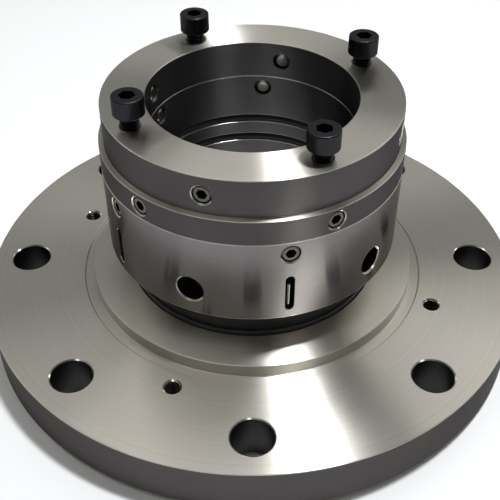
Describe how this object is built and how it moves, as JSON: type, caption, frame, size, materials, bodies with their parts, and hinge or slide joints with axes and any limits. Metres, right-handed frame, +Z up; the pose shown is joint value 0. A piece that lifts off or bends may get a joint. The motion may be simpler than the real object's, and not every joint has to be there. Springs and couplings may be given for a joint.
{
  "type": "agitator seal",
  "caption": "Outside-mounted agitator shaft seal: a bolted round flange with a fixed seat, and a rotating head of stacked clamping rings that presses a sprung carbon ring on it.",
  "frame": {"origin": "centre of the flange's raised face, on the shaft's axis, where it meets the vessel", "axes": "+Z up the shaft, away from the vessel; -Y towards the side that the picture shows"},
  "size_m": [0.25, 0.25, 0.1291],
  "materials": {
    "flange_steel": "turned stainless steel, satin",
    "head_steel": "fine turned stainless steel",
    "inner_steel": "turned stainless steel",
    "bright_steel": "bright stainless steel",
    "spring_steel": "drawn spring wire",
    "black_screw": "black oxide on alloy steel",
    "carbon": "resin-filled carbon graphite, matt",
    "seat_ceramic": "lapped silicon carbide",
    "o_ring_rubber": "black moulded rubber"
  },
  "bodies": {
    "mounting": {"mounting_flange": "flange_steel", "seat_ring": "seat_ceramic", "seat_o_ring": "o_ring_rubber", "seat_pins": "bright_steel"},
    "face_unit": {"carbon_ring": "carbon", "face_carrier": "inner_steel", "face_o_ring": "o_ring_rubber", "drive_keys": "bright_steel"},
    "rotor": {"spring_housing": "head_steel", "housing_set_screws": "bright_steel", "drive_sleeve": "head_steel", "sleeve_set_screws": "bright_steel", "upper_shaft_o_ring": "o_ring_rubber", "lower_shaft_o_ring": "o_ring_rubber", "jack_screws": "black_screw", "spring_1": "spring_steel", "spring_2": "spring_steel", "spring_3": "spring_steel", "spring_4": "spring_steel", "spring_5": "spring_steel", "spring_6": "spring_steel", "spring_7": "spring_steel", "spring_8": "spring_steel", "spring_9": "spring_steel", "spring_10": "spring_steel"},
    "collar": {"setting_collar": "head_steel", "collar_set_screws": "bright_steel"}
  },
  "joints": [
    {"name": "rotor_spin", "type": "hinge", "parent": "mounting", "child": "face_unit", "pos_m": [0, 0, 0.0313], "axis": [0, 0, 1], "continuous": true},
    {"name": "face_travel", "type": "slide", "parent": "face_unit", "child": "rotor", "axis": [0, 0, -1], "range_m": [0, 0.0045], "stiffness_N_per_m": 36000, "springref_m": -0.002, "deforming": ["spring_1", "spring_2", "spring_3", "spring_4", "spring_5", "spring_6", "spring_7", "spring_8", "spring_9", "spring_10"]},
    {"name": "collar_setting", "type": "slide", "parent": "rotor", "child": "collar", "axis": [0, 0, 1], "range_m": [0, 0.0044]}
  ]
}
